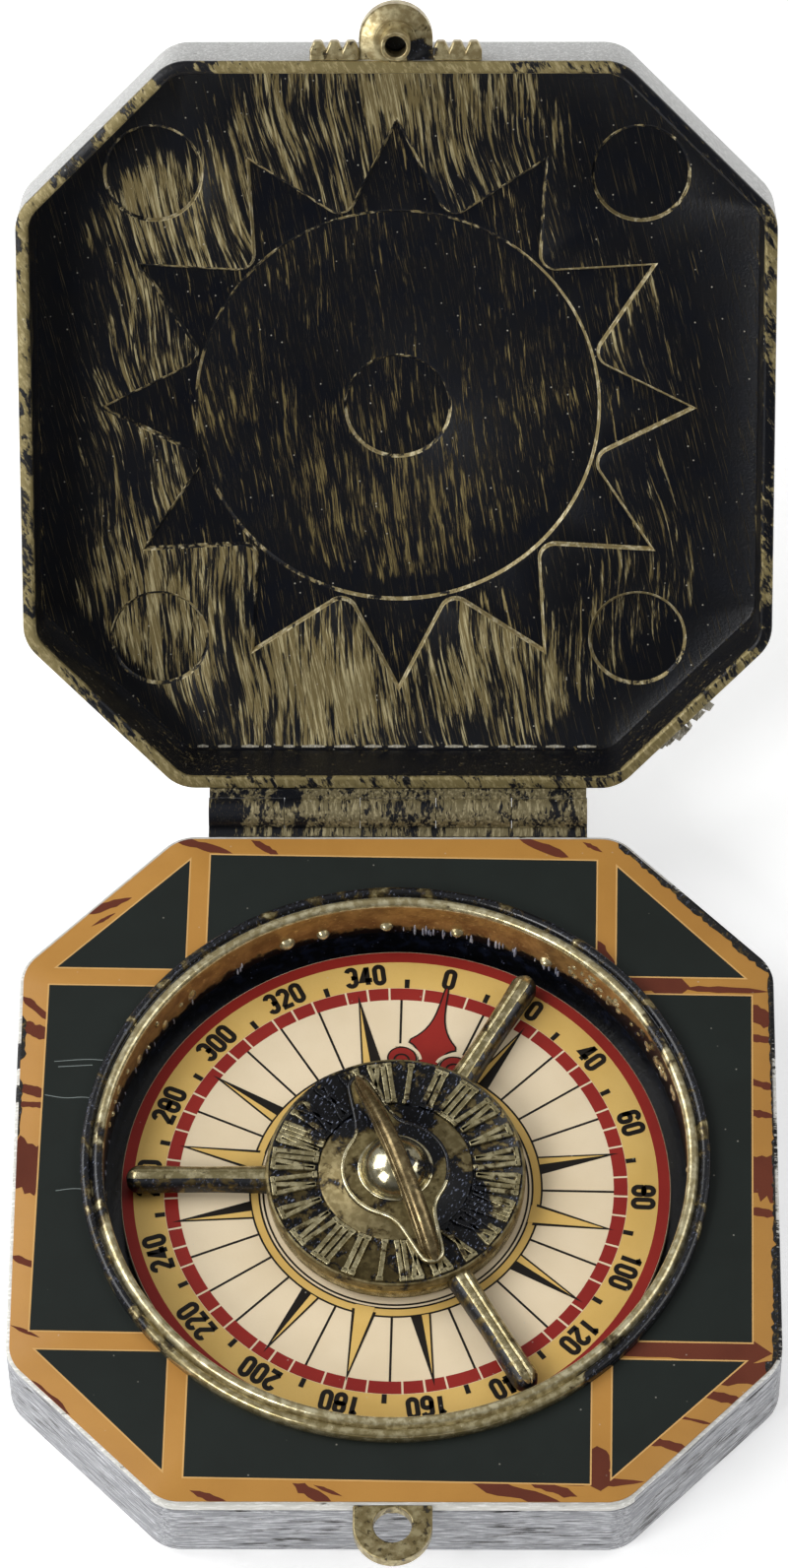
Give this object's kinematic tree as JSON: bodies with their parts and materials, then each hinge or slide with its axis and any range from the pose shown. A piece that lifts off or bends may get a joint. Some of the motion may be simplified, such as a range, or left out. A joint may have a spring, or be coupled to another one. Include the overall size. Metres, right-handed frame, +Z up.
{
  "type": "pocket compass sundial",
  "caption": "Octagonal pocket compass sundial: hinged lid with a sunken sun, turning compass card, three-armed bridge, hour hub and swivelling arched gnomon.",
  "frame": {"origin": "middle of the case's flat underside", "axes": "+Z up out of the printed face, +Y towards the hinge, +X to the right seen from the latch side"},
  "size_m": [0.075, 0.1392, 0.0757],
  "materials": {
    "antique_shell": "black moulded plastic, dry-brushed with antique brass paint",
    "lid_shell": "black moulded plastic, dry-brushed with antique brass paint in long strokes",
    "deck_black": "moulded plastic",
    "printed_face": "satin printed sheet: dark green panels, tan bands, red-brown veining",
    "bezel_brass": "worn brass paint over black",
    "well_black": "glossy black",
    "hub_brass": "brass paint with dark patina in the recesses",
    "arch_brass": "brass paint, rubbed bright on the ridge",
    "polished_brass": "polished",
    "latch_brass": "brass paint over black",
    "turned_brass": "turned",
    "steel": "zinc plated",
    "magnet": "ferrite bar",
    "printed_card": "printed card: red, ochre and cream with black figures"
  },
  "bodies": {
    "case": {"case_tub": "antique_shell", "deck_plate": "deck_black", "face_label": "printed_face", "bezel_ring": "bezel_brass", "dial_well": "well_black", "centre_post": "turned_brass", "bridge_arms": "hub_brass", "hour_hub": "hub_brass", "gnomon_dome": "polished_brass", "case_hinge_leaf": "antique_shell", "hinge_pin": "steel", "latch_eyelet": "latch_brass", "case_screws": "steel"},
    "card": {"compass_card": "printed_card", "card_bushing": "turned_brass", "card_magnets": "magnet"},
    "gnomon": {"gnomon_plate": "hub_brass", "gnomon_arch": "arch_brass"},
    "lid": {"lid_shell": "lid_shell", "lid_hinge_leaf": "antique_shell", "latch_tab": "latch_brass", "latch_stud": "latch_brass", "latch_trims": "latch_brass"}
  },
  "joints": [
    {"name": "lid_hinge", "type": "hinge", "parent": "case", "child": "lid", "pos_m": [0, 0.0401, 0.0111], "axis": [1, 0, 0], "range_deg": [0, 128.8]},
    {"name": "card_spin", "type": "hinge", "parent": "case", "child": "card", "pos_m": [0, 0, 0.0052], "axis": [0, 0, 1], "continuous": true},
    {"name": "gnomon_swivel", "type": "hinge", "parent": "case", "child": "gnomon", "pos_m": [0, 0, 0.0093], "axis": [0, 0, 1], "continuous": true}
  ]
}
